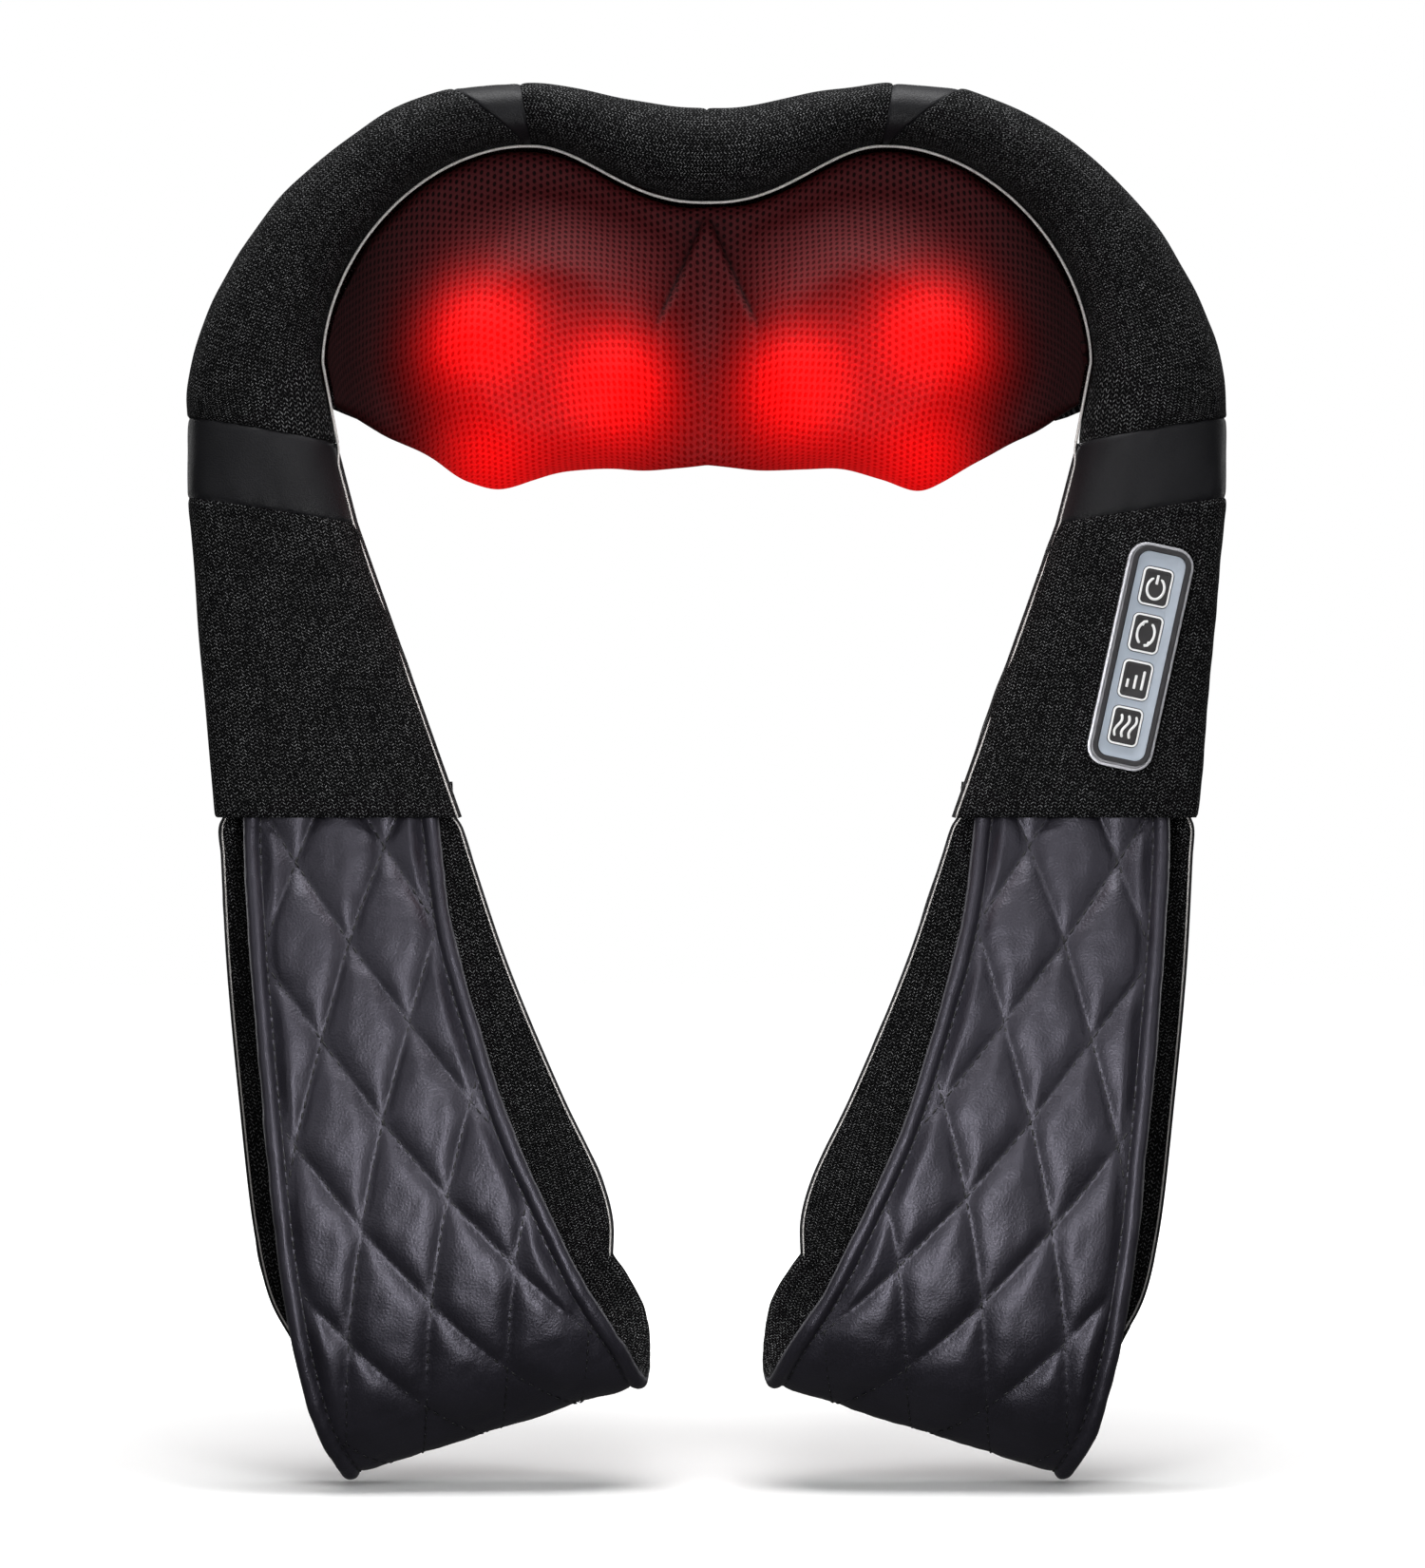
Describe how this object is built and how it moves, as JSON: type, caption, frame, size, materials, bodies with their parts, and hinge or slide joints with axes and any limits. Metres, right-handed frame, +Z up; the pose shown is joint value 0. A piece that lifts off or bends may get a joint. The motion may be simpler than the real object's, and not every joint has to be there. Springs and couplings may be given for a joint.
{
  "type": "neck massager",
  "caption": "Padded yoke massager that hangs over the shoulders, with geared kneading heads behind a mesh window, a control pod and quilted hand loops.",
  "frame": {"origin": "the middle of the neck bolster's front face, where the wearer's nape rests", "axes": "+X to the control pod's side, +Y from the mesh side to the rear cover, +Z up along the arms"},
  "size_m": [0.435, 0.1237, 0.5795],
  "materials": {
    "woven_cover": "black woven cover cloth with grey flecks",
    "leather": "dark grey pebbled leather, quilted on the loops",
    "mesh_fabric": "perforated spacer mesh, red where the heat lamps shine through",
    "foam": "soft filling",
    "piping": "light grey piping cord",
    "black_plastic": "moulded, fine texture",
    "grey_plastic": "light blue-grey moulded plate",
    "key_rubber": "dark grey keys with raised white borders",
    "gear_plastic": "natural white gear plastic",
    "red_silicone": "translucent red silicone",
    "steel": "plain steel",
    "brass": "machined brass",
    "circuit_board": "green printed circuit board"
  },
  "bodies": {
    "massager_body": {"left_bolster_cover": "woven_cover", "right_bolster_cover": "woven_cover", "left_wedge": "leather", "right_wedge": "leather", "left_shoulder_cover": "woven_cover", "right_shoulder_cover": "woven_cover", "left_band": "leather", "right_band": "leather", "yoke_foam": "foam", "mesh_cover": "mesh_fabric", "rear_cover": "woven_cover", "window_piping": "piping", "rear_housing": "black_plastic", "front_housing": "black_plastic", "housing_screw_1": "steel", "housing_screw_2": "steel", "housing_screw_3": "steel", "housing_screw_4": "steel", "motor": "steel", "left_spindle_bush": "brass", "right_spindle_bush": "brass", "left_lamp_board": "circuit_board", "right_lamp_board": "circuit_board", "power_inlet": "black_plastic", "zip_tape": "black_plastic"},
    "drive_shaft": {"motor_shaft": "steel", "left_worm": "brass", "right_worm": "brass"},
    "left_head": {"left_spindle": "steel", "left_worm_wheel": "gear_plastic", "left_rotor": "black_plastic", "left_large_node_1": "red_silicone", "left_large_node_2": "red_silicone", "left_small_node_1": "red_silicone", "left_small_node_2": "red_silicone"},
    "right_head": {"right_spindle": "steel", "right_worm_wheel": "gear_plastic", "right_rotor": "black_plastic", "right_large_node_1": "red_silicone", "right_large_node_2": "red_silicone", "right_small_node_1": "red_silicone", "right_small_node_2": "red_silicone"},
    "left_arm": {"left_sleeve_cover": "woven_cover", "left_sleeve_foam": "foam", "left_tail": "woven_cover", "left_loop": "leather"},
    "right_arm": {"right_sleeve_cover": "woven_cover", "right_sleeve_foam": "foam", "right_tail": "woven_cover", "right_loop": "leather", "pod_bezel": "black_plastic", "pod_face_plate": "grey_plastic", "pod_housing": "black_plastic", "control_board": "circuit_board"},
    "power_key": {"power_button": "key_rubber"},
    "direction_key": {"direction_button": "key_rubber"},
    "speed_key": {"speed_button": "key_rubber"},
    "heat_key": {"heat_button": "key_rubber"},
    "slider": {"zip_slider": "steel"},
    "pull_tab": {"zip_pull": "steel"}
  },
  "joints": [
    {"name": "left_head_spin", "type": "hinge", "parent": "massager_body", "child": "left_head", "pos_m": [-0.066, 0.026, -0.086], "axis": [0, 1, 0], "continuous": true},
    {"name": "right_head_spin", "type": "hinge", "parent": "massager_body", "child": "right_head", "pos_m": [0.066, 0.026, -0.086], "axis": [0, 1, 0], "continuous": true},
    {"name": "drive_shaft_spin", "type": "hinge", "parent": "massager_body", "child": "drive_shaft", "pos_m": [0, 0.062, -0.062], "axis": [1, 0, 0], "continuous": true},
    {"name": "left_arm_flex", "type": "hinge", "parent": "massager_body", "child": "left_arm", "pos_m": [-0.1842, 0.026, -0.1329], "axis": [-0.9867, 0, 0.1628], "range_deg": [0, 40], "stiffness_Nm_per_rad": 0.4, "deforming": ["left_band"]},
    {"name": "right_arm_flex", "type": "hinge", "parent": "massager_body", "child": "right_arm", "pos_m": [0.1842, 0.026, -0.1329], "axis": [-0.9867, 0, -0.1628], "range_deg": [0, 40], "stiffness_Nm_per_rad": 0.4, "deforming": ["right_band"]},
    {"name": "power_press", "type": "slide", "parent": "right_arm", "child": "power_key", "axis": [0, 0.999, 0.0448], "range_m": [0, 0.0006], "stiffness_N_per_m": 500, "springref_m": -0.0005},
    {"name": "direction_press", "type": "slide", "parent": "right_arm", "child": "direction_key", "axis": [0, 0.999, 0.0448], "range_m": [0, 0.0006], "stiffness_N_per_m": 500, "springref_m": -0.0005},
    {"name": "speed_press", "type": "slide", "parent": "right_arm", "child": "speed_key", "axis": [0, 0.999, 0.0448], "range_m": [0, 0.0006], "stiffness_N_per_m": 500, "springref_m": -0.0005},
    {"name": "heat_press", "type": "slide", "parent": "right_arm", "child": "heat_key", "axis": [0, 0.999, 0.0448], "range_m": [0, 0.0006], "stiffness_N_per_m": 500, "springref_m": -0.0005},
    {"name": "zip_run", "type": "slide", "parent": "massager_body", "child": "slider", "axis": [1, 0, 0], "range_m": [0, 0.182]},
    {"name": "pull_swing", "type": "hinge", "parent": "slider", "child": "pull_tab", "pos_m": [-0.092, 0.0773, -0.1261], "axis": [0, 1, 0], "range_deg": [-60, 60]}
  ],
  "couplings": [
    {"joint": "right_head_spin", "follows": "left_head_spin", "ratio": -1},
    {"joint": "drive_shaft_spin", "follows": "left_head_spin", "ratio": -24}
  ]
}
